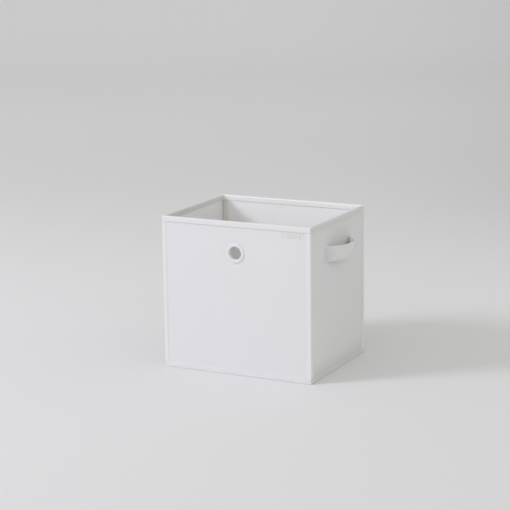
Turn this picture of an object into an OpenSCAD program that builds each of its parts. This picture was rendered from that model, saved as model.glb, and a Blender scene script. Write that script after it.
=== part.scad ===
// Fabric storage box with an open top, a finger eyelet in the front, a strap
// handle on each side and a loose stiffened base. The board-lined walls fold
// flat: each side wall has an upright crease and tucks inwards.
// The origin is on the floor under the middle of the box, the front faces -Y,
// +Z is up. Millimetres.

/* [Box] */
// Outside width across the front
box_w = 295; // [220:5:400]
// Outside depth from front to back
box_d = 235; // [200:5:400]
// Height to the top of the rim
box_h = 280; // [200:5:400]

/* [Wall layers] */
// Thickness of the outer cloth
outer_t = 0.7; // [0.4:0.1:1]
// Thickness of the stiffening board
board_t = 2; // [1.5:0.1:3]
// Thickness of the lining cloth
lining_t = 0.5; // [0.4:0.1:1]
// How far the board stops short of the cloth's edges
board_inset = 1.5; // [1:0.5:4]

/* [Binding tape] */
// Thickness of the tape
tape_t = 0.6; // [0.4:0.1:0.8]
// Width of each leg of the tape on the rim and the corners
tape_w = 9; // [7:0.5:12]
// Height of the binding round the bottom edge
bottom_h = 10; // [8:0.5:14]

/* [Eyelet] */
// Height of the eyelet's centre above the floor
eye_z = 223.5; // [150:0.5:240]
// Diameter of the finger hole
eye_bore = 23.5; // [20:0.5:30]
// Outside diameter of the front flange
eye_flange = 36; // [34:0.5:48]
// Outside diameter of the washer inside the box
eye_washer_d = 35; // [33:0.5:46]
// How far the front flange stands proud of the cloth
eye_proud = 1.8; // [1.2:0.1:2.5]

/* [Handles] */
// Width of the strap
strap_w = 29; // [20:0.5:40]
// Thickness of the strap
strap_t = 1.2; // [0.8:0.1:2]
// Height of the strap's middle above the floor
strap_z = 221; // [140:1:235]
// Distance from the crease to the inner end of each sewn tab
strap_reach = 48; // [40:1:70]
// Length of each sewn tab
strap_tab = 10; // [8:1:30]
// How far the strap stands off the wall at its middle
strap_bow = 24.5; // [10:0.5:35]
// How squarely the strap turns at the ends of its loop
strap_turn = 3; // [2:0.1:4]

/* [Label] */
// Width of the blank woven label
label_w = 44; // [20:1:60]
// Height of the label
label_h = 13; // [8:1:20]
// Distance from the middle of the front to the label's middle
label_x = 113; // [-100:1:113]

/* [Base] */
// Gap between the loose base and the walls, each side
base_gap = 1.8; // [1.5:0.1:6]

/* [Clearances] */
// Gap between a moving wall and its neighbour
run = 0.3; // [0.2:0.05:0.5]
// Distance of a fold line from the tape that it clears
fold_clear = 0.15; // [0.1:0.05:0.3]

/* [Hidden] */
$fn = 96;

wall_t = outer_t + board_t + lining_t;

// Front wall: outer and inner faces, and the half width it shares with the back
yf_out = -(box_d / 2 - tape_t);
yf_in = yf_out + wall_t;
x_cap = box_w / 2 - tape_t;

// Side walls: outer and inner faces
xs_out = x_cap - run - 0.1;
xs_in = xs_out - wall_t;

// Back wall: 0.4 mm inside the bottom binding
yb_out = box_d / 2 - tape_t - run - 0.1;
yb_in = yb_out - wall_t;

// Ends of the side walls, and the upright crease between their leaves
ys_front = yf_in + run;
ys_rear = yb_in - run;
y_crease = (yf_in + yb_in) / 2;
crease_gap = fold_clear;

// Heights
floor_t = tape_t;
z_front = floor_t;
z_wall = floor_t + 3.9;
z_top = box_h - tape_t;
z_tape = box_h - tape_w;
z_corner0 = bottom_h + run;
z_corner1 = z_tape - run;

// Front and back rim bindings leave the fold lines free near the corners
x_rim_in = xs_in - tape_t - fold_clear - 0.25;

// Loose base
base_w = 2 * (xs_in - base_gap);
base_d = (yb_in - base_gap - 0.4) - (yf_in + base_gap + 0.4);
base_z = floor_t + run;

cloth = "#e9e8ec";
cloth_in = "#e4e3e6";
band = "#efeef2";
board_c = "#b9ab93";

// A box given by its two corners
module span(a, b) {
    translate(a) cube([b[0] - a[0], b[1] - a[1], b[2] - a[2]]);
}

// ---- front wall ----

module eyelet_hole() {
    translate([0, yf_out - 5, eye_z]) rotate([-90, 0, 0])
        cylinder(h = wall_t + 10, d = eye_bore + 3.4);
}

module front_outer_panel() {
    color(cloth) difference() {
        span([-x_cap, yf_out, z_front], [x_cap, yf_out + outer_t, z_top]);
        eyelet_hole();
    }
}

module front_board() {
    color(board_c) difference() {
        span([-x_cap + board_inset, yf_out + outer_t, z_front + board_inset],
             [x_cap - board_inset, yf_in - lining_t, z_top - board_inset / 3]);
        eyelet_hole();
    }
}

module front_lining() {
    color(cloth_in) difference() {
        span([-x_cap, yf_in - lining_t, z_front], [x_cap, yf_in, z_top]);
        eyelet_hole();
    }
}

// Tape folded over the top edge of the front or the back wall, closed round
// both ends. y_out is the wall's outer face, side is -1 at the front.
module end_rim(y_out, side) {
    y_in = y_out - side * wall_t;
    translate([0, y_out, 0]) scale([1, side, 1]) color(band) {
        // outer leg, end caps and top fold in one piece
        difference() {
            span([-box_w / 2, -wall_t, z_tape], [box_w / 2, tape_t, box_h]);
            span([-x_cap, -wall_t - 1, z_tape - 1], [x_cap, 0, z_top]);
        }
        // inner leg and the strip of the top fold above it
        difference() {
            span([-x_rim_in, -wall_t - tape_t, z_tape], [x_rim_in, -wall_t + 0.5, box_h]);
            span([-x_rim_in - 1, -wall_t, z_tape - 1], [x_rim_in + 1, 1, z_top]);
        }
    }
}

module front_rim_binding() { end_rim(yf_out, -1); }

// L-shaped tape on an upright corner. sx is the side of the box, y_out the
// outer face of the wall that carries it, sy the way that face looks.
module corner_tape(sx, y_out, sy) {
    color(band) scale([sx, 1, 1]) translate([0, y_out, 0]) scale([1, sy, 1])
        translate([0, 0, z_corner0]) linear_extrude(z_corner1 - z_corner0)
            polygon([
                [box_w / 2 - tape_w, 0], [box_w / 2 - tape_w, tape_t],
                [box_w / 2, tape_t], [box_w / 2, tape_t - tape_w],
                [x_cap, tape_t - tape_w], [x_cap, 0]
            ]);
}

module corner_binding_front_right() { corner_tape(1, yf_out, -1); }
module corner_binding_front_left() { corner_tape(-1, yf_out, -1); }

// Tape round the whole bottom edge
module bottom_binding() {
    color(band) difference() {
        span([-box_w / 2, -box_d / 2, 0], [box_w / 2, box_d / 2, bottom_h]);
        span([-x_cap, -box_d / 2 + tape_t, -1], [x_cap, box_d / 2 - tape_t, bottom_h + 1]);
    }
}

module floor_cloth() {
    color(cloth_in) span([-x_cap, -box_d / 2 + tape_t, 0], [x_cap, box_d / 2 - tape_t, floor_t]);
}

// ---- eyelet ----

// Points of an arc in the plane of a profile
function arc(c, r, a0, a1, n) = [for (i = [0:n]) let (a = a0 + (a1 - a0) * i / n)
    [c[0] + r * cos(a), c[1] + r * sin(a)]];

// Domed flange and barrel in one piece. The first coordinate is the radius,
// the second the distance out from the cloth.
module eyelet_ring() {
    rb = eye_bore / 2;
    ro = eye_flange / 2;
    lip = 1.5;
    color("#f4f4f6") translate([0, yf_out, eye_z]) rotate([90, 0, 0])
        rotate_extrude($fn = 128) polygon(concat(
            [[rb + lip, 0], [ro, 0]],
            arc([ro - 0.9, 0.5], 0.9, 10, 78, 5),
            [[ro - 2.2, eye_proud - 0.22], [ro - 3.4, eye_proud - 0.03]],
            arc([rb + lip + 0.2, eye_proud - lip], lip, 88, 150, 5),
            [[rb, eye_proud - lip - 0.1], [rb, -wall_t - 1.2]],
            [[rb + 0.25, -wall_t - 1.45], [rb + lip - 0.25, -wall_t - 1.45], [rb + lip, -wall_t - 1.2]]
        ));
}

// Flat ring that grips the barrel inside the box
module eyelet_washer() {
    color("#ececef") translate([0, yf_in, eye_z]) rotate([-90, 0, 0])
        rotate_extrude($fn = 128) polygon([
            [eye_bore / 2 + 1.6, 0], [eye_washer_d / 2, 0],
            [eye_washer_d / 2, 0.7], [eye_washer_d / 2 - 0.4, 1.1],
            [eye_bore / 2 + 2, 1.25], [eye_bore / 2 + 1.6, 1.0]
        ]);
}

module label_tag() {
    color("#d9dcd6") span([label_x - label_w / 2, yf_out - 0.5, z_tape - 1.2 - label_h],
                          [label_x + label_w / 2, yf_out, z_tape - 1.2]);
}

// ---- side walls ----

// Each leaf is drawn for the right side of the box and mirrored for the left.
// y0 and y1 are its ends.
module leaf_outer(sx, y0, y1) {
    color(cloth) scale([sx, 1, 1]) span([xs_out - outer_t, y0, z_wall], [xs_out, y1, z_top]);
}

module leaf_board(sx, y0, y1) {
    color(board_c) scale([sx, 1, 1])
        span([xs_in + lining_t, y0 + board_inset, z_wall + board_inset],
             [xs_out - outer_t, y1 - board_inset, z_top - board_inset / 3]);
}

module leaf_lining(sx, y0, y1) {
    color(cloth_in) scale([sx, 1, 1]) span([xs_in, y0, z_wall], [xs_in + lining_t, y1, z_top]);
}

// Tape folded over the top edge of a leaf
module leaf_rim(sx, y0, y1) {
    color(band) scale([sx, 1, 1]) difference() {
        span([xs_in - tape_t, y0, z_tape], [xs_out + tape_t, y1, box_h]);
        span([xs_in, y0 - 1, z_tape - 1], [xs_out, y1 + 1, z_top]);
    }
}

yc0 = y_crease - crease_gap;
yc1 = y_crease + crease_gap;

module right_front_outer_panel() { leaf_outer(1, ys_front, yc0); }
module right_front_board() { leaf_board(1, ys_front, yc0); }
module right_front_lining() { leaf_lining(1, ys_front, yc0); }
module right_front_rim_binding() { leaf_rim(1, ys_front, yc0); }
module right_rear_outer_panel() { leaf_outer(1, yc1, ys_rear); }
module right_rear_board() { leaf_board(1, yc1, ys_rear); }
module right_rear_lining() { leaf_lining(1, yc1, ys_rear); }
module right_rear_rim_binding() { leaf_rim(1, yc1, ys_rear); }
module left_front_outer_panel() { leaf_outer(-1, ys_front, yc0); }
module left_front_board() { leaf_board(-1, ys_front, yc0); }
module left_front_lining() { leaf_lining(-1, ys_front, yc0); }
module left_front_rim_binding() { leaf_rim(-1, ys_front, yc0); }
module left_rear_outer_panel() { leaf_outer(-1, yc1, ys_rear); }
module left_rear_board() { leaf_board(-1, yc1, ys_rear); }
module left_rear_lining() { leaf_lining(-1, yc1, ys_rear); }
module left_rear_rim_binding() { leaf_rim(-1, yc1, ys_rear); }

// ---- strap handles ----

// How far the strap's wall side stands off at a distance t from the crease: a
// full arch that runs into the flat tabs through an easy bend
function arch(t) = strap_bow * (1 - pow(abs(t) / strap_reach, strap_turn));
function stand_off(t) = max(0, (arch(t) + sqrt(arch(t) * arch(t) + 9)) / 2 - 0.35);
strap_ts = [for (i = [-40:40]) (strap_reach + 6) * i / 40];

module strap(sx) {
    end = strap_reach + strap_tab;
    inner = concat([[0, -end]], [for (t = strap_ts) [stand_off(t), t]], [[0, end]]);
    outer = concat([[strap_t, end]], [for (i = [len(strap_ts) - 1:-1:0])
        let (t = strap_ts[i], e = 0.5,
             s = (stand_off(t + e) - stand_off(t - e)) / (2 * e), m = sqrt(1 + s * s))
        [stand_off(t) + strap_t / m, t - strap_t * s / m]], [[strap_t, -end]]);
    color("#edecf0") scale([sx, 1, 1]) translate([xs_out, y_crease, strap_z - strap_w / 2])
        linear_extrude(strap_w) polygon(concat(inner, outer));
}

module handle_strap_right() { strap(1); }
module handle_strap_left() { strap(-1); }

// ---- back wall ----

module back_outer_panel() {
    color(cloth) span([-xs_out, yb_out - outer_t, z_wall], [xs_out, yb_out, z_top]);
}

module back_board() {
    color(board_c) span([-xs_out + board_inset, yb_in + lining_t, z_wall + board_inset],
                        [xs_out - board_inset, yb_out - outer_t, z_top - board_inset / 3]);
}

module back_lining() {
    color(cloth_in) span([-xs_out, yb_in, z_wall], [xs_out, yb_in + lining_t, z_top]);
}

module back_rim_binding() { end_rim(yb_out, 1); }
module corner_binding_back_right() { corner_tape(1, yb_out, 1); }
module corner_binding_back_left() { corner_tape(-1, yb_out, 1); }

// ---- loose base ----

module base_layer(inset, z0, z1) {
    ym = (yf_in + yb_in) / 2;
    translate([0, ym, z0]) linear_extrude(z1 - z0) offset(r = 4, $fn = 32)
        square([base_w - 2 * inset - 8, base_d - 2 * inset - 8], center = true);
}

module base_board() { color(board_c) base_layer(0.5, base_z + 0.5, base_z + 2.5); }
module base_cover_top() { color(cloth_in) base_layer(0, base_z + 2.5, base_z + 3); }
module base_cover_bottom() { color(cloth_in) base_layer(0, base_z, base_z + 0.5); }

front_outer_panel();
front_board();
front_lining();
front_rim_binding();
corner_binding_front_right();
corner_binding_front_left();
bottom_binding();
floor_cloth();
eyelet_ring();
eyelet_washer();
label_tag();
right_front_outer_panel();
right_front_board();
right_front_lining();
right_front_rim_binding();
right_rear_outer_panel();
right_rear_board();
right_rear_lining();
right_rear_rim_binding();
left_front_outer_panel();
left_front_board();
left_front_lining();
left_front_rim_binding();
left_rear_outer_panel();
left_rear_board();
left_rear_lining();
left_rear_rim_binding();
handle_strap_right();
handle_strap_left();
back_outer_panel();
back_board();
back_lining();
back_rim_binding();
corner_binding_back_right();
corner_binding_back_left();
base_board();
base_cover_top();
base_cover_bottom();
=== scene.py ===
import math

import bmesh
import bpy
import numpy as np
from mathutils import Matrix, Vector


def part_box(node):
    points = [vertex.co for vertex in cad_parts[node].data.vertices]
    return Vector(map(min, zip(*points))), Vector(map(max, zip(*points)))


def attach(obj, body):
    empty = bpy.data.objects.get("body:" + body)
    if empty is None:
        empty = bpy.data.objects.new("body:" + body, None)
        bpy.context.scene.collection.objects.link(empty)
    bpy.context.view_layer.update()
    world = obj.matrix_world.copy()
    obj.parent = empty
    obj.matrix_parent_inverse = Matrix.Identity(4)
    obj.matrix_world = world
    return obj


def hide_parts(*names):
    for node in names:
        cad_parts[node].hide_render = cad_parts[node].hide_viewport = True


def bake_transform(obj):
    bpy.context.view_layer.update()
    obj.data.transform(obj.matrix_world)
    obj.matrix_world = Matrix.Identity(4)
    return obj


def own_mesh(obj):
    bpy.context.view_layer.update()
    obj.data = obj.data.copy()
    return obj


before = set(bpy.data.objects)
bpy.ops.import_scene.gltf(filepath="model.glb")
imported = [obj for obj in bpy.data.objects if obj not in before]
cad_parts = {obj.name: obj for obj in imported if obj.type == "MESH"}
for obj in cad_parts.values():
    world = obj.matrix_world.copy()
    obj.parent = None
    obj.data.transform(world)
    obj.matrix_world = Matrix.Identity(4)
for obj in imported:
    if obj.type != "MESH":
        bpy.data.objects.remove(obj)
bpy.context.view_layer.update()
rng = np.random.default_rng(7)
MM = 0.001

# ------------------------------------------------------------------ measures
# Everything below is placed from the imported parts' own boxes.


def lohi(node):
    lo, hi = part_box(node)
    return np.array(lo), np.array(hi)


FO, FI = lohi("front_outer_panel"), lohi("front_lining")
BO, BI = lohi("back_outer_panel"), lohi("back_lining")
RO, RI = lohi("right_front_outer_panel"), lohi("right_front_lining")
RR = lohi("right_rear_outer_panel")
RIMF, RIML, RIMB = lohi("front_rim_binding"), lohi("right_front_rim_binding"), lohi("back_rim_binding")
RING, FLOOR = lohi("bottom_binding"), lohi("floor_cloth")
CFR, CBR = lohi("corner_binding_front_right"), lohi("corner_binding_back_right")
EYE, LABEL = lohi("eyelet_ring"), lohi("label_tag")
STRAP = lohi("handle_strap_right")
BASET, BASEB = lohi("base_cover_top"), lohi("base_cover_bottom")

YF_OUT, YF_IN = FO[0][1], FI[1][1]
YB_OUT, YB_IN = BO[1][1], BI[0][1]
XS_OUT, XS_IN = RO[1][0], RI[0][0]
X_CAP, X_MAX = FO[1][0], RING[1][0]
TAPE = RIML[1][0] - XS_OUT
Z_TOP, Z_RIM = FO[1][2], RIMF[1][2]
Z_TAPE = RIMF[0][2]
Z_WALL, Z_FRONT = RO[0][2], FO[0][2]
YS0, YS1 = RO[0][1], RR[1][1]
Y_CREASE = (RO[1][1] + RR[0][1]) / 2
Z_C0, Z_C1 = CFR[0][2], CFR[1][2]
Z_BIND = RING[1][2]
EX, EZ = (EYE[0][0] + EYE[1][0]) / 2, (EYE[0][2] + EYE[1][2]) / 2
X_RIM_IN = XS_IN - TAPE - 0.4 * MM

# ------------------------------------------------------------------ noise


class Noise:
    """Smooth value noise from a few seeded plane waves."""

    def __init__(self, seed, wavelength, n=9):
        r = np.random.default_rng(seed)
        a = r.uniform(0, 2 * math.pi, n)
        k = 2 * math.pi / (wavelength * r.uniform(0.7, 1.6, n))
        self.kx, self.ky = k * np.cos(a), k * np.sin(a)
        self.ph = r.uniform(0, 2 * math.pi, n)

    def __call__(self, x, y):
        x, y = np.asarray(x, float), np.asarray(y, float)
        s = 0
        for kx, ky, ph in zip(self.kx, self.ky, self.ph):
            s = s + np.sin(kx * x + ky * y + ph)
        return s / len(self.ph) ** 0.5 / 1.2


def smooth(t):
    t = np.clip(t, 0, 1)
    return t * t * (3 - 2 * t)


# ------------------------------------------------------------------ materials


def new_material(name):
    m = bpy.data.materials.new(name)
    m.use_nodes = True
    nt = m.node_tree
    nt.nodes.clear()
    out = nt.nodes.new("ShaderNodeOutputMaterial")
    bsdf = nt.nodes.new("ShaderNodeBsdfPrincipled")
    nt.links.new(bsdf.outputs[0], out.inputs[0])
    return m, nt, bsdf


class Graph:
    def __init__(self, nt):
        self.nt = nt

    def node(self, kind, **props):
        n = self.nt.nodes.new(kind)
        for k, v in props.items():
            setattr(n, k, v)
        return n

    def put(self, socket, value):
        if isinstance(value, bpy.types.NodeSocket):
            self.nt.links.new(value, socket)
        else:
            socket.default_value = value

    def math(self, op, a, b=None, c=None, clamp=False):
        n = self.node("ShaderNodeMath", operation=op, use_clamp=clamp)
        self.put(n.inputs[0], a)
        if b is not None:
            self.put(n.inputs[1], b)
        if c is not None:
            self.put(n.inputs[2], c)
        return n.outputs[0]

    def uv(self):
        n = self.node("ShaderNodeUVMap", uv_map="cloth")
        return n.outputs[0]

    def split(self, v):
        n = self.node("ShaderNodeSeparateXYZ")
        self.put(n.inputs[0], v)
        return n.outputs[0], n.outputs[1], n.outputs[2]

    def join(self, x, y, z=0.0):
        n = self.node("ShaderNodeCombineXYZ")
        self.put(n.inputs[0], x)
        self.put(n.inputs[1], y)
        self.put(n.inputs[2], z)
        return n.outputs[0]

    def noise(self, vec, scale, detail=2.0, rough=0.5):
        n = self.node("ShaderNodeTexNoise")
        self.put(n.inputs["Vector"], vec)
        n.inputs["Scale"].default_value = scale
        n.inputs["Detail"].default_value = detail
        n.inputs["Roughness"].default_value = rough
        return n.outputs["Fac"]

    def ramp(self, fac, stops):
        n = self.node("ShaderNodeValToRGB")
        el = n.color_ramp.elements
        while len(el) < len(stops):
            el.new(0.5)
        for e, (p, c) in zip(el, stops):
            e.position = p
            e.color = (*c, 1) if len(c) == 3 else c
        self.put(n.inputs[0], fac)
        return n.outputs[0]

    def mix(self, fac, a, b, kind="MIX"):
        n = self.node("ShaderNodeMix", data_type="RGBA", blend_type=kind)
        self.put(n.inputs[0], fac)
        self.put(n.inputs[6], a if isinstance(a, bpy.types.NodeSocket) else (*a, 1))
        self.put(n.inputs[7], b if isinstance(b, bpy.types.NodeSocket) else (*b, 1))
        return n.outputs[2]

    def bump(self, height, strength, distance, normal=None):
        n = self.node("ShaderNodeBump")
        n.inputs["Strength"].default_value = strength
        n.inputs["Distance"].default_value = distance
        self.put(n.inputs["Height"], height)
        if normal is not None:
            self.put(n.inputs["Normal"], normal)
        return n.outputs[0]


def weave_height(g, uv, pitch_u, pitch_v, twill=False):
    """Height of a plain weave (or a twill) with threads pitch_u and pitch_v apart."""
    wob = g.noise(uv, 90.0, 2.0)
    u, v, _ = g.split(uv)
    u = g.math("ADD", u, g.math("MULTIPLY", wob, pitch_u * 0.5))
    v = g.math("ADD", v, g.math("MULTIPLY", wob, pitch_v * 0.5))
    cu, cv = g.math("DIVIDE", u, pitch_u), g.math("DIVIDE", v, pitch_v)
    iu, iv = g.math("FLOOR", cu), g.math("FLOOR", cv)
    step = g.math("ADD", iu, iv)
    period = 3.0 if twill else 2.0
    over = g.math("LESS_THAN", g.math("FLOORED_MODULO", step, period), 1.0)
    warp = g.math("ABSOLUTE", g.math("SINE", g.math("MULTIPLY", cu, math.pi)))
    weft = g.math("ABSOLUTE", g.math("SINE", g.math("MULTIPLY", cv, math.pi)))
    top = g.math("MULTIPLY", warp, g.math("POWER", weft, 0.35))
    low = g.math("MULTIPLY", weft, g.math("POWER", warp, 0.35))
    a = g.math("MULTIPLY", top, over)
    b = g.math("MULTIPLY", low, g.math("SUBTRACT", 1.0, over))
    return g.math("ADD", a, b), u, v


def cloth_material(name, tone, pitch=0.62, dark=0.955, twill=False, bump=0.32, sheen=0.12,
                   slub=0.5, soil=0.02, rough=(0.86, 0.97), shades=()):
    """Matt woven cloth: threads, slubs, a faint mottle, a little grey where it is handled or stands, and painted shade
    in its creases.
    shades are (0 for u or 1 for v, from, to, colour factor, power, centre), bands of painted shade: the cloth darkens
    from the first value to the second and keeps that darkness beyond it; with a centre the values are distances from
    it."""
    m, nt, p = new_material(name)
    g = Graph(nt)
    uv = g.uv()
    h, u, v = weave_height(g, uv, pitch * MM, pitch * 1.06 * MM, twill)
    # uneven threads: long along the thread, short across it
    slub_u = g.noise(g.join(g.math("MULTIPLY", u, 1400.0), g.math("MULTIPLY", v, 60.0)), 1.0, 1.5)
    slub_v = g.noise(g.join(g.math("MULTIPLY", u, 55.0), g.math("MULTIPLY", v, 1350.0)), 1.0, 1.5)
    slubs = g.math("MULTIPLY", g.math("ADD", slub_u, slub_v), 0.5)
    mottle = g.noise(uv, 26.0, 4.0, 0.55)
    broad = g.noise(uv, 6.5, 2.0)
    tone = np.array(tone)
    low, high = tone * dark, np.minimum(tone * 1.012, 0.955)
    c = g.ramp(h, [(0.0, tuple(low * 0.93)), (0.45, tuple(tone * 0.99)), (1.0, tuple(high))])
    c = g.mix(g.math("MULTIPLY", g.math("SUBTRACT", slubs, 0.5), slub, clamp=True), c,
              tuple(low * np.array((0.985, 0.98, 0.96))))
    c = g.mix(g.ramp(mottle, [(0.35, (0.0,) * 3), (0.75, (0.10,) * 3)]), c, tuple(tone * np.array((0.97, 0.967, 0.955))))
    c = g.mix(g.ramp(broad, [(0.4, (0.0,) * 3), (0.8, (soil * 4,) * 3)]), c, tuple(tone * np.array((0.955, 0.945, 0.92))))
    # painted shade: creases and hollows (low pointiness) come out slightly darker; raised folds keep the cloth's tone
    geo = g.node("ShaderNodeNewGeometry")
    edge = g.ramp(geo.outputs["Pointiness"], [(0.42, (0.0,) * 3), (0.5, (0.5,) * 3), (0.62, (1.0,) * 3)])
    c = g.mix(g.math("MULTIPLY", g.math("SUBTRACT", 0.5, edge), 0.2, clamp=True), c, tuple(tone * 0.88))
    across = g.split(uv)
    # painted shade: each band darkens the colour towards its factor
    for which, start, stop, factor, power, centre in shades:
        at = across[which] if centre is None else g.math("ABSOLUTE", g.math("SUBTRACT", across[which], centre))
        f = g.math("DIVIDE", g.math("SUBTRACT", at, start), stop - start, clamp=True)
        c = g.mix(g.math("POWER", f, power), c, tuple(tone * np.array(factor)))
    nt.links.new(c, p.inputs["Base Color"])
    r = g.node("ShaderNodeMapRange")
    g.put(r.inputs["Value"], g.math("ADD", g.math("MULTIPLY", h, 0.5), g.math("MULTIPLY", mottle, 0.5)))
    r.inputs["To Min"].default_value, r.inputs["To Max"].default_value = rough[1], rough[0]
    nt.links.new(r.outputs[0], p.inputs["Roughness"])
    n = g.bump(g.math("ADD", mottle, g.math("MULTIPLY", slubs, 0.4)), 0.22, 0.0005)
    n = g.bump(h, bump, 0.00022, n)
    nt.links.new(n, p.inputs["Normal"])
    p.inputs["Sheen Weight"].default_value = sheen
    p.inputs["Sheen Roughness"].default_value = 0.55
    p.inputs["Specular IOR Level"].default_value = 0.28
    return m


def board_material():
    m, nt, p = new_material("greyboard")
    g = Graph(nt)
    co = g.node("ShaderNodeTexCoord").outputs["Object"]
    fibre = g.noise(co, 420.0, 5.0, 0.65)
    fleck = g.noise(co, 1500.0, 2.0)
    ply = g.node("ShaderNodeTexNoise")
    g.put(ply.inputs["Vector"], co)
    ply.inputs["Scale"].default_value = 60.0
    c = g.ramp(fibre, [(0.3, (0.30, 0.26, 0.20)), (0.7, (0.46, 0.41, 0.33))])
    c = g.mix(g.ramp(fleck, [(0.66, (0.0,) * 3), (0.72, (0.7,) * 3)]), c, (0.20, 0.18, 0.15))
    c = g.mix(g.math("MULTIPLY", ply.outputs["Fac"], 0.35), c, (0.52, 0.47, 0.40))
    nt.links.new(c, p.inputs["Base Color"])
    nt.links.new(g.ramp(fibre, [(0.2, (0.82,) * 3), (0.8, (0.97,) * 3)]), p.inputs["Roughness"])
    nt.links.new(g.bump(fibre, 0.4, 0.0004), p.inputs["Normal"])
    return m


def plastic_material():
    m, nt, p = new_material("white_plastic")
    g = Graph(nt)
    co = g.node("ShaderNodeTexCoord").outputs["Object"]
    haze = g.noise(co, 160.0, 3.0)
    fine = g.noise(co, 1900.0, 2.0)
    scuff = g.node("ShaderNodeTexNoise")
    x, y, z = g.split(co)
    g.put(scuff.inputs["Vector"], g.join(g.math("MULTIPLY", x, 900.0), g.math("MULTIPLY", y, 900.0), g.math("MULTIPLY", z, 4200.0)))
    scuff.inputs["Scale"].default_value = 1.0
    c = g.ramp(haze, [(0.3, (0.735, 0.732, 0.74)), (0.75, (0.775, 0.772, 0.775))])
    # painted shade: hollows and inside corners (low pointiness) are darkened
    geo = g.node("ShaderNodeNewGeometry")
    c = g.mix(g.ramp(geo.outputs["Pointiness"], [(0.40, (0.5,) * 3), (0.48, (0.0,) * 3)]), c, (0.60, 0.59, 0.57))
    nt.links.new(c, p.inputs["Base Color"])
    r = g.math("ADD", g.math("MULTIPLY", haze, 0.16), g.math("MULTIPLY", scuff.outputs["Fac"], 0.18))
    nt.links.new(g.math("ADD", r, 0.22), p.inputs["Roughness"])
    nt.links.new(g.bump(fine, 0.08, 0.00008), p.inputs["Normal"])
    p.inputs["Specular IOR Level"].default_value = 0.5
    p.inputs["Coat Weight"].default_value = 0.05
    p.inputs["Coat Roughness"].default_value = 0.2
    return m


def thread_material():
    m, nt, p = new_material("sewing_thread")
    g = Graph(nt)
    u, v, _ = g.split(g.uv())
    twist = g.math("SINE", g.math("MULTIPLY", g.math("ADD", g.math("MULTIPLY", u, 1.0), g.math("MULTIPLY", v, 0.6)), 14000.0))
    c = g.ramp(g.math("MULTIPLY_ADD", twist, 0.5, 0.5), [(0.0, (0.72, 0.715, 0.71)), (1.0, (0.86, 0.855, 0.85))])
    nt.links.new(c, p.inputs["Base Color"])
    nt.links.new(g.ramp(g.noise(g.uv(), 400.0), [(0.3, (0.5,) * 3), (0.7, (0.72,) * 3)]), p.inputs["Roughness"])
    nt.links.new(g.bump(twist, 0.4, 0.00008), p.inputs["Normal"])
    p.inputs["Sheen Weight"].default_value = 0.2
    return m


def label_material():
    """Blank woven satin label: a pale field with a sage block and hairlines, no lettering."""
    m, nt, p = new_material("woven_label")
    g = Graph(nt)
    uv = g.uv()
    h, u, v = weave_height(g, uv, 0.24 * MM, 0.2 * MM, True)
    # the block's mask, from u and v in metres measured from the label's corner
    def band(x, a, b):
        return g.math("MULTIPLY", g.math("GREATER_THAN", x, a), g.math("LESS_THAN", x, b))
    fuzz = g.math("MULTIPLY", g.math("SUBTRACT", g.noise(uv, 1500.0), 0.5), 0.0005)
    uu, vv = g.math("ADD", u, fuzz), g.math("ADD", v, fuzz)
    block = g.math("MULTIPLY", band(uu, 0.010, 0.0305), band(vv, 0.0022, 0.0108))
    line = g.math("ADD", band(uu, 0.0332, 0.0344), band(uu, 0.0362, 0.0376))
    line = g.math("MULTIPLY", line, band(vv, 0.002, 0.011))
    c = g.ramp(h, [(0.0, (0.66, 0.662, 0.65)), (1.0, (0.785, 0.786, 0.772))])
    c = g.mix(g.math("MULTIPLY", block, 0.85), c, (0.675, 0.683, 0.632))
    c = g.mix(g.math("MULTIPLY", line, 0.8, clamp=True), c, (0.55, 0.55, 0.53))
    nt.links.new(c, p.inputs["Base Color"])
    nt.links.new(g.ramp(h, [(0.0, (0.62,) * 3), (1.0, (0.42,) * 3)]), p.inputs["Roughness"])
    nt.links.new(g.bump(h, 0.3, 0.0001), p.inputs["Normal"])
    p.inputs["Sheen Weight"].default_value = 0.15
    return m


WHITE = (0.768, 0.763, 0.772)
M_OUT = cloth_material("outer_cloth", WHITE)
# painted shade: the side walls' outer cloth is a shade darker than the front's, and darkens more over its lowest 30 mm
M_OUT_SIDE_SHADED = cloth_material("side_outer_cloth_painted_shade", (0.756, 0.751, 0.757), shades=[(1, Z_BIND + 30 * MM, Z_BIND, (0.855, 0.855, 0.85), 1.4, None)])
# painted shade in the inner corners, where the walls shade each other: the linings darken, warm, towards their ends
CORNER_SHADE, CORNER_SHADE_SIDE = (0.89, 0.865, 0.825), (0.80, 0.77, 0.71)
# painted light: the linings are the outer white cloth made lighter, the front and back ones most; the side linings'
# lower tone is painted shade
M_LINING_LIT = cloth_material("lining_cloth", (0.930, 0.926, 0.925), pitch=0.7, bump=0.28,
                       shades=[(0, XS_IN - 13 * MM, XS_IN - 7 * MM, CORNER_SHADE, 1.0, 0.0)])
M_SIDE_LINING_SHADED = cloth_material("side_lining_painted_shade", (0.872, 0.866, 0.857), pitch=0.7, bump=0.28,
                            shades=[(0, (YS1 - YS0) / 2 - 12 * MM, (YS1 - YS0) / 2 - 3 * MM, CORNER_SHADE_SIDE, 1.0,
                                     (YS0 + YS1) / 2)])


def tape_material(name, tone, **more):
    return cloth_material(name, tone, pitch=0.46, bump=0.4, twill=True, sheen=0.16, soil=0.03, **more)


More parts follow.
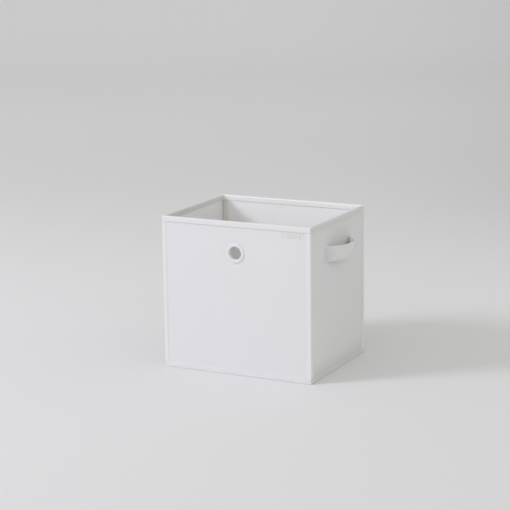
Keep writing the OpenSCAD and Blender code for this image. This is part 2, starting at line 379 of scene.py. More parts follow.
# one tape in lit and shaded copies: the corner tapes keep its tone; painted shade on the front rim (slight) and the
# side rims (more), painted light on the back rim
M_TAPE = tape_material("binding_tape", (0.806, 0.802, 0.800))
M_TAPE_FRONT_SHADED = tape_material("front_rim_tape_painted_shade", (0.796, 0.792, 0.790))
M_TAPE_SIDE_SHADED = tape_material("side_rim_tape_painted_shade", (0.728, 0.725, 0.718))
M_TAPE_BACK_LIT = tape_material("back_rim_tape_painted_light", (0.925, 0.921, 0.918))
M_STRAP = cloth_material("strap_cloth", (0.738, 0.734, 0.731), pitch=0.62, bump=0.36, sheen=0.12, soil=0.05)
# a single thin strap lets light through, which the stiffened walls do not
strap_shader = next(n for n in M_STRAP.node_tree.nodes if n.type == "BSDF_PRINCIPLED")
strap_shader.inputs["Subsurface Weight"].default_value = 1.0
strap_shader.inputs["Subsurface Radius"].default_value = (1.0, 0.97, 0.92)
strap_shader.inputs["Subsurface Scale"].default_value = 0.004
M_FLOORC = cloth_material("base_cloth", (0.820, 0.808, 0.788), pitch=0.7, bump=0.28, soil=0.04)
M_BOARD, M_PLASTIC, M_THREAD, M_LABEL = board_material(), plastic_material(), thread_material(), label_material()

# ------------------------------------------------------------------ mesh tools


def build(name, verts, faces, uvs, material, angle=40):
    """A mesh from points, faces and one (u, v) in metres per point, smooth with its sharp turns kept."""
    me = bpy.data.meshes.new(name)
    me.from_pydata([tuple(v) for v in verts], [], [tuple(int(i) for i in f) for f in faces])
    me.update()
    layer = me.uv_layers.new(name="cloth")
    uvs = np.asarray(uvs, float)
    idx = np.zeros(len(me.loops), int)
    me.loops.foreach_get("vertex_index", idx)
    layer.data.foreach_set("uv", uvs[idx].astype(np.float32).ravel())
    bm = bmesh.new()
    bm.from_mesh(me)
    bmesh.ops.dissolve_degenerate(bm, dist=2e-6, edges=bm.edges)
    bmesh.ops.recalc_face_normals(bm, faces=bm.faces)
    lim = math.radians(angle)
    for f in bm.faces:
        f.smooth = True
    for e in bm.edges:
        if len(e.link_faces) == 2 and e.calc_face_angle(0) > lim:
            e.smooth = False
    bm.to_mesh(me)
    bm.free()
    me.materials.append(material)
    o = bpy.data.objects.new(name, me)
    bpy.context.scene.collection.objects.link(o)
    return o


def sheet_mesh(name, A, B, UV, material, keep=None, angle=40):
    """Closed sheet between two grids of points A (outside) and B (inside), both (nu, nv, 3)."""
    nu, nv = A.shape[:2]
    n = nu * nv
    ids = np.arange(n).reshape(nu, nv)
    q = np.stack([ids[:-1, :-1], ids[1:, :-1], ids[1:, 1:], ids[:-1, 1:]], -1).reshape(-1, 4)
    if keep is not None:
        q = q[keep.reshape(-1)]
    faces = [tuple(f) for f in q] + [tuple(f[::-1] + n) for f in q]
    count = {}
    for f in q:
        for i in range(4):
            a, b = int(f[i]), int(f[(i + 1) % 4])
            count[(a, b)] = 1
    for a, b in list(count):
        if (b, a) not in count:
            faces.append((b, a, a + n, b + n))
    V = np.concatenate([A.reshape(-1, 3), B.reshape(-1, 3)])
    used = np.zeros(2 * n, bool)
    for f in faces:
        used[list(f)] = True
    remap = np.cumsum(used) - 1
    faces = [tuple(remap[list(f)]) for f in faces]
    uv = np.concatenate([UV.reshape(-1, 2)] * 2)[used]
    return build(name, V[used], faces, uv, material, angle)


def sweep(name, rings, UV, material, closed_path=False, angle=35):
    """Closed cross-sections (ns, np, 3) joined along a path, with capped ends."""
    ns, npt = rings.shape[:2]
    ids = np.arange(ns * npt).reshape(ns, npt)
    faces = []
    last = ns if closed_path else ns - 1
    for i in range(last):
        a, b = ids[i], ids[(i + 1) % ns]
        for k in range(npt):
            k2 = (k + 1) % npt
            faces.append((a[k], a[k2], b[k2], b[k]))
    if not closed_path:
        half = npt // 2
        for row, flip in ((ids[0], False), (ids[-1], True)):
            # a strip across the thin section, so the cap isn't one long face
            for k in range(half - 1):
                f = (row[k], row[k + 1], row[npt - 2 - k], row[npt - 1 - k])
                faces.append(f[::-1] if flip else f)
    return build(name, rings.reshape(-1, 3), faces, UV.reshape(-1, 2), material, angle)


def ribbon_section(path, t, press=0.54):
    """Closed section of a ribbon: path is (n, 2), its outer side; the inner side lies t to its right. Its two
    edges are rounded, and pressed down by the seam."""
    path = np.asarray(path, float)
    tan = np.gradient(path, axis=0)
    tan /= np.linalg.norm(tan, axis=1)[:, None]
    nor = np.stack([tan[:, 1], -tan[:, 0]], 1)
    inner = path + nor * t
    run = np.concatenate([[0], np.cumsum(np.linalg.norm(np.diff(path, axis=0), axis=1))])
    near = np.minimum(run, run[-1] - run)
    a, b = path + nor * (t * press * (1 - smooth(near / (2.8 * MM))))[:, None], inner[::-1].copy()
    # round the two free ends a little, and keep their undersides on the cloth
    a[0] += nor[0] * t * 0.22
    a[-1] += nor[-1] * t * 0.22
    b[0] -= nor[-1] * t * 0.05
    b[-1] -= nor[0] * t * 0.05
    e0 = (a[0] + b[-1]) / 2 - tan[0] * t * 0.18
    e1 = (a[-1] + b[0]) / 2 + tan[-1] * t * 0.18
    return np.concatenate([[e0], a, [e1], b]), len(a)


def arc2(c, r, a0, a1, n):
    a = np.radians(np.linspace(a0, a1, n))
    return np.stack([c[0] + r * np.cos(a), c[1] + r * np.sin(a)], 1)


def line2(p, q, n):
    return np.linspace(p, q, n)


def ring_uv(section, s):
    """(u along the path, v round the section) for one ring."""
    d = np.linalg.norm(np.diff(section, axis=0), axis=1)
    v = np.concatenate([[0], np.cumsum(d)])
    half = v[len(v) // 2]
    v = np.where(v > half, 2 * half - v, v)
    return np.stack([np.full(len(v), s), v], 1)


THREADS = {}


def stitches(name, body, pts, normal, pitch=3.6, length=2.7, r=0.24, jitter=0.06, sink=0.35):
    """A row of thread stitches along the line of points pts, on a surface with that normal."""
    pts = np.asarray(pts, float)
    seg = np.linalg.norm(np.diff(pts, axis=0), axis=1)
    s = np.concatenate([[0], np.cumsum(seg)])
    total = s[-1]
    n = max(1, int(total / (pitch * MM)))
    start = (total - n * pitch * MM) / 2 + (pitch - length) * MM / 2
    normal = np.asarray(normal, float)
    normal /= np.linalg.norm(normal)
    R = r * MM
    for i in range(n):
        a = start + i * pitch * MM
        ts = a + np.array([0, 0.12, 0.35, 0.65, 0.88, 1]) * length * MM
        c = np.stack([np.interp(ts, s, pts[:, k]) for k in range(3)], 1)
        d = c[-1] - c[0]
        d /= np.linalg.norm(d)
        side = np.cross(normal, d)
        c = c + side * rng.normal(0, jitter * MM * 0.5)
        lift = np.array([-1.0, -0.1, 0.32, 0.32, -0.1, -1.0]) * R
        fat = np.array([0.5, 0.85, 1.0, 1.0, 0.85, 0.5]) * R
        ang = np.radians(np.arange(0, 360, 60))
        ring = []
        for k in range(6):
            q = c[k] + normal * (lift[k] - R * (sink - 0.35))
            ring.append(q + fat[k] * (np.cos(ang)[:, None] * side + 0.8 * np.sin(ang)[:, None] * normal))
        key = (name, body)
        V, F, U = THREADS.setdefault(key, ([], [], []))
        base = sum(len(x) for x in V)
        V.append(np.concatenate(ring))
        U.append(np.stack([np.repeat(ts, 6), np.tile(np.arange(6) * 0.00008, 6)], 1))
        for k in range(5):
            for j in range(6):
                j2 = (j + 1) % 6
                F.append((base + k * 6 + j, base + k * 6 + j2, base + k * 6 + 6 + j2, base + k * 6 + 6 + j))
        F.append(tuple(base + j for j in range(5, -1, -1)))
        F.append(tuple(base + 30 + j for j in range(6)))


# ------------------------------------------------------------------ wall sheets
n_slow, n_mid = Noise(11, 0.13), Noise(12, 0.045)
n_edge = Noise(13, 0.022)


def panel_offset(u, v, u0, u1, v0, v1, seed, crown=0.42, swell=0.35):
    """How far a wall's cloth stands off its flat: level under the tapes, a slight crown, and puckers along the seams."""
    du, dv = np.minimum(u - u0, u1 - u), np.minimum(v - v0, v1 - v)
    d = np.minimum(du, dv)
    free = smooth((d - 7 * MM) / (30 * MM))
    body = 0.13 * smooth((d - 7.5 * MM) / (3 * MM)) + crown * smooth((d - 7 * MM) / (60 * MM)) + swell * free * (0.55 * n_slow(u + seed, v - seed) + 0.18 * n_mid(u - seed, v + seed))
    # puckers run away from the seam and fade
    run = np.where(du < dv, v, u)
    fade = np.exp(-np.maximum(d - 8 * MM, 0) / (9 * MM)) * smooth((d - 4 * MM) / (5 * MM))
    pucker = 0.11 * np.sin(2 * math.pi * run / (7.3 * MM) + 2.2 * n_mid(u + 3 * seed, v)) * fade * (0.6 + 0.4 * n_mid(v, u + seed))
    return (body + pucker) * MM


def panel(name, axis, face, sign, u0, u1, v0, v1, thick, material, seed, hole=None, blend_at=None,
          crown=0.42, swell=0.35, limit=None):
    """A wall's cloth. axis is 0 for a side wall and 1 for front or back, face is its visible surface's
    coordinate and sign the way it looks. blend_at packs extra columns round a crease."""
    step = 3.1 * MM
    us = np.linspace(u0, u1, int((u1 - u0) / step) + 1)
    if blend_at is not None:
        us = us[np.abs(us - blend_at) > 3.4 * MM]
        us = np.sort(np.concatenate([us, blend_at + np.linspace(-3.2, 3.2, 25) * MM]))
    vs = np.linspace(v0, v1, int((v1 - v0) / step) + 1)
    U, V = np.meshgrid(us, vs, indexing="ij")
    off = panel_offset(U, V, u0, u1, v0, v1, seed, crown, swell)
    keep = None
    if hole is not None:
        hu, hv, r_in, r_out, r_flat = hole
        R = np.hypot(U - hu, V - hv)
        A = np.arctan2(V - hv, U - hu)
        inside = R < r_out
        R2 = np.where(inside, r_in + (r_out - r_in) * R / r_out, R)
        U = np.where(inside, hu + R2 * np.cos(A), U)
        V = np.where(inside, hv + R2 * np.sin(A), V)
        off = off * smooth((R2 - r_flat) / (9 * MM)) - 0.10 * MM * np.exp(-((R2 - r_flat) / (2.5 * MM)) ** 2)
        core = R < 4.2 * MM
        keep = ~(core[:-1, :-1] | core[1:, :-1] | core[1:, 1:] | core[:-1, 1:])
    if blend_at is not None:
        off = off * smooth((np.abs(U - blend_at) - 1 * MM) / (14 * MM))
    if limit is not None:
        off = np.minimum(off, limit)
    out = np.empty(U.shape + (3,))
    inn = np.empty(U.shape + (3,))
    other = 1 - axis
    for arr, at in ((out, face + sign * off), (inn, face - sign * thick + sign * off * 0.0)):
        arr[..., axis] = at
        arr[..., other] = U
        arr[..., 2] = V
    return sheet_mesh(name, out, inn, np.stack([U, V], -1), material, keep)


t_out, t_lin = FO[1][1] - FO[0][1], FI[1][1] - FI[0][1]
w = panel("front_cloth", 1, YF_OUT, -1, -X_CAP, X_CAP, Z_FRONT, Z_TOP, t_out, M_OUT, 0.7,
          hole=(EX, EZ, 14.1 * MM, 23 * MM, 18.4 * MM))
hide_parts("front_outer_panel"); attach(w, "front_wall")
w = panel("front_lining_cloth", 1, YF_IN, 1, -XS_IN, XS_IN, Z_FRONT + 0.3 * MM, Z_TOP, t_lin, M_LINING_LIT, 1.9,
          hole=(EX, EZ, 14.1 * MM, 22 * MM, 17.9 * MM), crown=0.25, swell=0.25, limit=0.5 * MM)
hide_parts("front_lining"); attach(w, "front_wall")
w = panel("back_cloth", 1, YB_OUT, 1, -XS_OUT, XS_OUT, Z_WALL, Z_TOP, t_out, M_OUT, 3.1)
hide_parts("back_outer_panel"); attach(w, "back_wall")
w = panel("back_lining_cloth", 1, YB_IN, -1, -XS_IN, XS_IN, Z_WALL, Z_TOP, t_lin, M_LINING_LIT, 4.3, crown=0.25, swell=0.25, limit=0.5 * MM)
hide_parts("back_lining"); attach(w, "back_wall")

SIDES = (("right", 1), ("left", -1))
for side, sx in SIDES:
    fb, rb = f"{side}_front_leaf", f"{side}_rear_leaf"
    w = panel(f"{side}_side_cloth", 0, sx * XS_OUT, sx, YS0, YS1, Z_WALL, Z_TOP, t_out, M_OUT_SIDE_SHADED, 5.5 + sx,
              blend_at=Y_CREASE, crown=0.3, limit=0.38 * MM)
    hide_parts(f"{side}_front_outer_panel", f"{side}_rear_outer_panel")
    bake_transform(w)
    w = panel(f"{side}_side_lining", 0, sx * XS_IN, -sx, YS0, YS1, Z_WALL, Z_TOP, t_lin, M_SIDE_LINING_SHADED, 7.7 + sx,
              blend_at=Y_CREASE, crown=0.2, swell=0.25, limit=0.4 * MM)
    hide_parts(f"{side}_front_lining", f"{side}_rear_lining")
    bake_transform(w)

# ------------------------------------------------------------------ rim binding
R_FOLD = 1.5 * MM


def rim_path(out_face, in_face, legs=True):
    """Outer side of the folded tape, from the foot of the outer leg, over the top, to the foot of the inner leg.
    First coordinate is distance outwards from the wall, second is height."""
    o, i, top, low = out_face + TAPE, in_face - TAPE, Z_RIM, Z_TAPE
    return np.concatenate([
        line2((o, low), (o, top - R_FOLD - 0.2 * MM), 9),
        arc2((o - R_FOLD, top - R_FOLD), R_FOLD, 0, 90, 6),
        arc2((i + R_FOLD, top - R_FOLD), R_FOLD, 90, 180, 6),
        line2((i, top - R_FOLD - 0.2 * MM), (i, low), 9),
    ])


def ripple(s, seed, amp=0.16):
    return amp * MM * (0.7 * np.sin(2 * math.pi * s / (3.6 * MM)) * 0.25 + 0.6 * n_edge(s, seed * 0.37) + 0.35 * n_mid(s, seed))


def rim(name, stations, out_face, in_face, place, material, full_between=None, seed=0.0):
    """Tape folded over a wall's top edge. place(s, distance out, height) gives a point. Where full_between is
    given, the inner leg exists only between those stations."""
    wall = out_face - in_face
    base = rim_path(out_face, in_face)
    rings, uv = [], []
    for s in stations:
        p = base.copy()
        low = p[:, 1] < Z_TAPE + 5 * MM
        k = np.clip((Z_TAPE + 9 * MM - p[:, 1]) / (9 * MM), 0, 1)
        p[:, 1] += k * ripple(s, seed) * np.where(p[:, 0] > (out_face + in_face) / 2, 1, -1)
        sec, n = ribbon_section(p, TAPE * 0.93)
        # swell between the stitches
        puff = 0.05 * MM * np.sin(2 * math.pi * s / (3.6 * MM)) + 0.06 * MM * n_mid(s, seed + 2)
        mid = np.exp(-((sec[:, 1] - (Z_TAPE + 4.5 * MM)) / (2.2 * MM)) ** 2)
        sec[:, 0] += np.where(sec[:, 0] > out_face + 0.1 * MM, 1, np.where(sec[:, 0] < in_face - 0.1 * MM, -1, 0)) * mid * abs(puff)
        if full_between is not None and not full_between[0] <= s <= full_between[1]:
            gone = sec[:, 0] < in_face + 0.02 * MM
            sec[gone, 0] = in_face + 0.02 * MM
            sec[gone, 1] = np.maximum(sec[gone, 1], Z_TOP - 0.1 * MM)
        rings.append([place(s, q[0], q[1]) for q in sec])
        uv.append(ring_uv(sec, s))
    return sweep(name, np.array(rings), np.array(uv), material)


def cap_plate(name, sx, y0, y1, z0, z1, material):
    """Small folded end of the tape, round the end of the front or back wall."""
    n = 10
    ys, zs = np.linspace(y0, y1, 7), np.linspace(z0, z1, n)
    Y, Z = np.meshgrid(ys, zs, indexing="ij")
    d = np.minimum(np.minimum(Y - min(y0, y1), max(y0, y1) - Y), np.minimum(z1 - Z, 99))
    rise = np.sqrt(np.clip(1 - (1 - np.clip(d / (1.2 * MM), 0, 1)) ** 2, 0, 1))
    A = np.stack([sx * (X_CAP - 0.4 * MM + (TAPE + 0.4 * MM) * (0.35 + 0.65 * rise)), Y, Z], -1)
    B = np.stack([np.full(Y.shape, sx * (X_CAP - 0.5 * MM)), Y, Z], -1)
    return sheet_mesh(name, A, B, np.stack([Y, Z], -1), material)


def join(objs, name):
    """Joins meshes that are parts of one sewn piece."""
    bm = bmesh.new()
    for o in objs:
        bm.from_mesh(o.data)
    me = bpy.data.meshes.new(name)
    bm.to_mesh(me)
    bm.free()
    for m in objs[0].data.materials:
        me.materials.append(m)
    for o in objs:
        bpy.data.objects.remove(o)
    o = bpy.data.objects.new(name, me)
    bpy.context.scene.collection.objects.link(o)
    return o


def stations(a, b, step=1.2 * MM, extra=()):
    s = np.linspace(a, b, int(abs(b - a) / step) + 1)
    return np.sort(np.unique(np.concatenate([s, list(extra)])) if len(extra) else s)


eps = 0.02 * MM
for which, out_face, in_face, sgn in (("front", -YF_OUT, -YF_IN, -1), ("back", YB_OUT, YB_IN, 1)):
    st = stations(-X_CAP, X_CAP, extra=(-X_RIM_IN, -X_RIM_IN - eps, X_RIM_IN, X_RIM_IN + eps))
    tape = M_TAPE_FRONT_SHADED if which == "front" else M_TAPE_BACK_LIT
    o = rim(f"{which}_rim", st, out_face, in_face, lambda s, d, z, g=sgn: (s, g * d, z), tape,
            full_between=(-X_RIM_IN - eps / 2, X_RIM_IN + eps / 2), seed=1.3 + sgn)
    y_o, y_i = sgn * (out_face + TAPE), sgn * in_face
    caps = [cap_plate("cap", sx, min(y_o, y_i), max(y_o, y_i), Z_TAPE, Z_RIM, tape) for sx in (1, -1)]
    o = join([o] + caps, f"{which}_rim_tape")
    body = f"{which}_wall"
    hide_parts(f"{which}_rim_binding"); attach(o, body)
    xs = np.linspace(-X_CAP + 2 * MM, X_CAP - 2 * MM, 60)
    for face, nrm, lim in ((sgn * (out_face + TAPE), (0, sgn, 0), X_CAP - 2 * MM), (sgn * (in_face - TAPE), (0, -sgn, 0), X_RIM_IN - 1.5 * MM)):
        x = np.linspace(-lim, lim, 60)
        stitches(f"{which}_rim_stitches", body, np.stack([x, np.full(60, face), np.full(60, Z_TAPE + 1.9 * MM)], 1), nrm)

for side, sx in SIDES:
    fb, rb = f"{side}_front_leaf", f"{side}_rear_leaf"
    st = stations(YS0 - 0.24 * MM, YS1 + 0.24 * MM)
    st = st[np.abs(st - Y_CREASE) > 3.3 * MM]
    st = np.sort(np.concatenate([st, Y_CREASE + np.linspace(-3.2, 3.2, 25) * MM]))
    o = rim(f"{side}_rim_tape", st, XS_OUT, XS_IN, lambda s, d, z, g=sx: (g * d, s, z), M_TAPE_SIDE_SHADED, seed=4.4 + sx)
    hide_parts(f"{side}_front_rim_binding", f"{side}_rear_rim_binding")
    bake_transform(o)
    for body, a, b in ((fb, YS0 + 2 * MM, Y_CREASE - 1.6 * MM), (rb, Y_CREASE + 1.6 * MM, YS1 - 2 * MM)):
        y = np.linspace(a, b, 40)
        for face, nrm in ((sx * (XS_OUT + TAPE), (sx, 0, 0)), (sx * (XS_IN - TAPE), (-sx, 0, 0))):
            stitches(f"{body}_rim_stitches", body, np.stack([np.full(40, face), y, np.full(40, Z_TAPE + 1.9 * MM)], 1), nrm)

# ------------------------------------------------------------------ upright corner tapes


def corner_tape(name, sx, sy, y_face, seed, part=None):
    """Tape folded round an upright corner, from its edge on the front (or back) to its edge on the side.
    part "wall" or "leaf" makes only that side of it, for the corner where the two walls share no joint."""
    leg = 9 * MM
    xo, yo, r = X_MAX, abs(y_face) + TAPE, 1.6 * MM
    path = np.concatenate([
        line2((xo - leg, yo), (xo - r - 0.3 * MM, yo), 7),
        arc2((xo - r, yo - r), r, 90, 0, 8),
        line2((xo, yo - r - 0.3 * MM), (xo, yo - leg), 9),
    ])
    if part:
        path = path[:15] if part == "wall" else path[15:]
    rings, uv = [], []
    for s in stations(Z_C0 - 0.2 * MM, Z_C1 + 0.2 * MM, 1.5 * MM):
        p = path.copy()
        e = ripple(s, seed, 0.22)
        e2 = ripple(s, seed + 5, 0.22)
        m0 = np.clip((p[:, 0] - (xo - leg)) / (leg - r), 0, 1)
        m1 = np.clip((p[:, 1] - (yo - leg)) / (leg - r), 0, 1)
        p[:, 0] += (1 - m0) * e * (p[:, 1] > yo - 1e-6)
        p[:, 1] += (1 - m1) * e2 * (p[:, 0] > xo - 1e-6)
        sec, n = ribbon_section(p, TAPE * 0.93)
        puff = 0.07 * MM * abs(math.sin(math.pi * s / (3.6 * MM))) + 0.05 * MM * n_mid(s, seed)
        sec[:, 0] += np.where(sec[:, 0] > xo - 0.2 * MM, 1, 0) * np.exp(-((sec[:, 1] - (yo - 4.5 * MM)) / (2 * MM)) ** 2) * puff
        sec[:, 1] += np.where(sec[:, 1] > yo - 0.2 * MM, 1, 0) * np.exp(-((sec[:, 0] - (xo - 4.5 * MM)) / (2 * MM)) ** 2) * puff
        sec[:, 0] -= (X_MAX - TAPE - XS_OUT) * smooth((yo - r - sec[:, 1]) / (6.4 * MM)) * (sec[:, 0] > xo - 1.5 * MM)
        rings.append([(sx * q[0], sy * q[1], s) for q in sec])
        uv.append(ring_uv(sec, s)[:, ::-1])
    return sweep(name, np.array(rings), np.array(uv), M_TAPE)


for side, sx in SIDES:
    for which, sy, y_face, wall, leaf in (("front", -1, YF_OUT, "front_wall", f"{side}_front_leaf"),
                                          ("back", 1, YB_OUT, "back_wall", f"{side}_rear_leaf")):
        y_edge = sy * (abs(y_face) + TAPE)
        if (which, side) == ("back", "left"):
            for part, body in (("wall", wall), ("leaf", leaf)):
                o = corner_tape(f"{which}_{side}_corner_tape_{part}", sx, sy, y_face, 2.0 + sx + 3 * sy, part)
                if part == "wall":
                    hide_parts(f"corner_binding_{which}_{side}")
                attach(o, body)
        else:
            o = corner_tape(f"{which}_{side}_corner_tape", sx, sy, y_face, 2.0 + sx + 3 * sy)
            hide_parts(f"corner_binding_{which}_{side}")
            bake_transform(o)
        zz = np.linspace(Z_C0 + 1 * MM, Z_C1 - 1 * MM, 80)
        x_st = sx * (X_MAX - 9 * MM + 1.7 * MM)
        stitches(f"{which}_{side}_corner_stitches", wall, np.stack([np.full(80, x_st), np.full(80, y_edge), zz], 1), (0, sy, 0))
        y_st = y_edge - sy * 7.2 * MM
        stitches(f"{leaf}_corner_stitches", leaf, np.stack([np.full(80, sx * X_MAX), np.full(80, y_st), zz], 1), (sx, 0, 0))

# ------------------------------------------------------------------ bottom binding and floor cloth


def rounded_loop(hx, hy, r, n_corner=7, step=2.4 * MM):
    """Points and outward normals round a rectangle with rounded corners."""
    pts, nor = [], []
    for cx, cy, a0 in ((hx - r, hy - r, 0), (-hx + r, hy - r, 90), (-hx + r, -hy + r, 180), (hx - r, -hy + r, 270)):
        a = np.radians(np.linspace(a0, a0 + 90, n_corner))
        for k in a:
            pts.append((cx + r * math.cos(k), cy + r * math.sin(k)))
            nor.append((math.cos(k), math.sin(k)))
    P, N = np.array(pts), np.array(nor)
    out_p, out_n = [], []
    for i in range(len(P)):
        j = (i + 1) % len(P)
        d = np.linalg.norm(P[j] - P[i])
        m = max(1, int(d / step))
        for k in range(m):
            out_p.append(P[i] + (P[j] - P[i]) * k / m)
            out_n.append(N[i] + (N[j] - N[i]) * k / m)
    out_n = np.array(out_n)
    return np.array(out_p), out_n / np.linalg.norm(out_n, axis=1)[:, None]


HX, HY = RING[1][0], RING[1][1]
loop_p, loop_n = rounded_loop(HX, HY, 1.5 * MM)
loop_s = np.concatenate([[0], np.cumsum(np.linalg.norm(np.diff(loop_p, axis=0), axis=1))])
rings, uv = [], []
for (x, y), (nx, ny), s in zip(loop_p, loop_n, loop_s):
    e = ripple(s, 9.1, 0.2)
    path = np.concatenate([
        line2((0.0, Z_BIND + e), (0.0, 1.3 * MM), 9),
        arc2((-1.1 * MM, 1.1 * MM), 1.1 * MM, 0, -90, 5),
        line2((-1.5 * MM, 0.0), (-3.2 * MM, 0.0), 3),
    ])
    sec, n = ribbon_section(path, TAPE * 0.93)
    puff = 0.06 * MM * abs(math.sin(math.pi * s / (3.6 * MM))) + 0.05 * MM * n_mid(s, 8.0)
    sec[:, 0] += np.where(sec[:, 0] > -0.2 * MM, 1, 0) * np.exp(-((sec[:, 1] - 5 * MM) / (2.2 * MM)) ** 2) * puff
    sec[:, 0] -= abs(nx) ** 6 * (X_MAX - TAPE - XS_OUT) * smooth((sec[:, 1] - 3 * MM) / (6.4 * MM)) * (sec[:, 0] > -1.5 * MM)
    rings.append([(x + nx * q[0], y + ny * q[0], q[1]) for q in sec])
    uv.append(ring_uv(sec, s))
# painted shade: the bottom tape is a darker copy of the tape, darker again along the two side walls
half_side, foot = HY - 1.5 * MM, (0.85, 0.85, 0.845)
M_TAPE_BOTTOM_SHADED = tape_material("bottom_tape_painted_shade", (0.780, 0.776, 0.774), shades=[
    (0, half_side + 0.8 * MM, half_side - 0.8 * MM, foot, 1.0, loop_s[-1] - half_side),
    (0, half_side + 0.8 * MM, half_side - 0.8 * MM, foot, 1.0, loop_s[np.argmin(np.hypot(loop_p[:, 0] + HX, loop_p[:, 1]))])])
o = sweep("bottom_tape", np.array(rings), np.array(uv), M_TAPE_BOTTOM_SHADED, closed_path=True)
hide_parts("bottom_binding"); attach(o, "front_wall")
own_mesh(o)
closed = np.concatenate([loop_p, loop_p[:1]])
for a, b, nrm in (((-HX + 3 * MM, -HY), (HX - 3 * MM, -HY), (0, -1, 0)), ((-HX + 3 * MM, HY), (HX - 3 * MM, HY), (0, 1, 0)),
                  ((HX, -HY + 3 * MM), (HX, HY - 3 * MM), (1, 0, 0)), ((-HX, -HY + 3 * MM), (-HX, HY - 3 * MM), (-1, 0, 0))):
    q = np.linspace(a, b, 80)
    stitches("bottom_stitches", "front_wall", np.concatenate([q, np.full((80, 1), Z_BIND - 1.9 * MM)], 1), nrm)

n_u, n_v = 74, 60
U, V = np.meshgrid(np.linspace(FLOOR[0][0] + 0.1 * MM, FLOOR[1][0] - 0.1 * MM, n_u), np.linspace(FLOOR[0][1] + 0.1 * MM, FLOOR[1][1] - 0.1 * MM, n_v), indexing="ij")
edge = np.minimum(np.minimum(U - FLOOR[0][0], FLOOR[1][0] - U), np.minimum(V - FLOOR[0][1], FLOOR[1][1] - V))
lift = 0.12 * MM * smooth(edge / (20 * MM)) * (0.6 + 0.4 * n_slow(U, V))
A = np.stack([U, V, np.full(U.shape, FLOOR[1][2] - 0.1 * MM) + lift], -1)
B = np.stack([U, V, np.full(U.shape, 0.05 * MM) + lift], -1)
o = sheet_mesh("floor_sheet", A, B, np.stack([U, V], -1), M_FLOORC)
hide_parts("floor_cloth"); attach(o, "front_wall")
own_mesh(o)

# ------------------------------------------------------------------ loose base, a board wrapped in cloth


def base_wrap():
    lo, hi = BASEB[0].copy(), BASET[1].copy()
    hx, hy, zc, hz = (hi[0] - lo[0]) / 2, (hi[1] - lo[1]) / 2, (lo[2] + hi[2]) / 2, (hi[2] - lo[2]) / 2
    cx, cy = (hi[0] + lo[0]) / 2, (hi[1] + lo[1]) / 2
    prof = [(0.0, -1.0)] + [(math.cos(math.radians(a)), math.sin(math.radians(a))) for a in (-90, -60, -30, 0, 30, 60, 90)]
    loops = []
    fr = 1.4 * MM
    levels = [(1, k) for k in range(7)]
    P, N = rounded_loop(hx - fr, hy - fr, 3.2 * MM, 7, 4 * MM)
    S = np.concatenate([[0], np.cumsum(np.linalg.norm(np.diff(P, axis=0), axis=1))])
    V, F, UVS = [], [], []
    m = len(P)
    insets = [60, 30, 14, 8.6, 7.2, 6.4, 4.2, 2.0, 0.0]
    def face_z(side, ins, x, y):
        seam = -0.16 * MM * math.exp(-((ins - 6.8) / 0.9) ** 2)
        crown = 0.16 * MM * min(1.0, ins / 30) * (0.6 + 0.4 * float(n_slow(x, y)))
        return zc + side * (hz - 0.18 * MM + crown + seam)
    rings = []
    for ins in insets:
        k = ins * MM
        rings.append(("face", -1, ins, k))
    for a in (-60, -30, 0, 30, 60):
        rings.append(("edge", a, 0, 0))
    for ins in insets[::-1]:
        rings.append(("face", 1, ins, ins * MM))
    for kind, a, ins, k in rings:
        row = []
        for (x, y), (nx, ny), s in zip(P, N, S):
            if kind == "face":
                q = np.array((np.sign(x) * max(abs(x) - k, 0.0), np.sign(y) * max(abs(y) - k, 0.0)))
                z = face_z(a, ins, q[0], q[1])
            else:
                c = math.cos(math.radians(a))
                q = np.array((x + nx * fr * c, y + ny * fr * c))
                z = zc + (hz - 0.18 * MM) * math.sin(math.radians(a))
            row.append((cx + q[0], cy + q[1], z))
            UVS.append((q[0], q[1] + (z - zc)))
        V += row
    nr = len(rings)
    for i in range(nr - 1):
        for j in range(m):
            j2 = (j + 1) % m
            F.append((i * m + j, i * m + j2, (i + 1) * m + j2, (i + 1) * m + j))
    for i, sgn in ((0, 1), (nr - 1, -1)):
        # middle of the face: one polygon over the innermost ring
        ring = [i * m + j for j in range(m)]
        F.append(tuple(ring if sgn < 0 else ring[::-1]))
    o = build("base_cloth_wrap", V, F, UVS, M_FLOORC)
    return o, cx, cy, hx, hy


o, bcx, bcy, bhx, bhy = base_wrap()
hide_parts("base_cover_top", "base_cover_bottom"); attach(o, "base_insert")
for a, b in (((-1, -1), (1, -1)), ((1, -1), (1, 1)), ((1, 1), (-1, 1)), ((-1, 1), (-1, -1))):
    q = np.linspace((a[0] * (bhx - 8.2 * MM), a[1] * (bhy - 8.2 * MM)), (b[0] * (bhx - 8.2 * MM), b[1] * (bhy - 8.2 * MM)), 50) + (bcx, bcy)
    stitches("base_stitches", "base_insert", np.concatenate([q, np.full((50, 1), BASET[1][2] - 0.2 * MM)], 1), (0, 0, 1), pitch=4.2, length=3.2)

# ------------------------------------------------------------------ strap handles
TAB, BOW = 10 * MM, STRAP[1][0] - XS_OUT - 1.2 * MM
REACH = STRAP[1][1] - Y_CREASE - TAB
ST_T = 1.15 * MM
zs0, zs1 = STRAP[0][2], STRAP[1][2]


def stand(t):
    """How far the strap's wall side stands off at a distance t from the crease."""
    a = (BOW + 0.28 * MM) * (1 - (np.abs(np.asarray(t, float)) / REACH) ** 3)
    return np.maximum(0, (a + np.sqrt(a * a + 9 * MM * MM)) / 2 - 0.35 * MM)


def hang(st, c):
    """Stand-off at a point across the strap, c = -1 at its lower edge and 1 at its upper: the soft strap drops,
    so its lower edge lies nearer the wall."""
    return st * (1 - 0.36 * (1 - c) / 2)


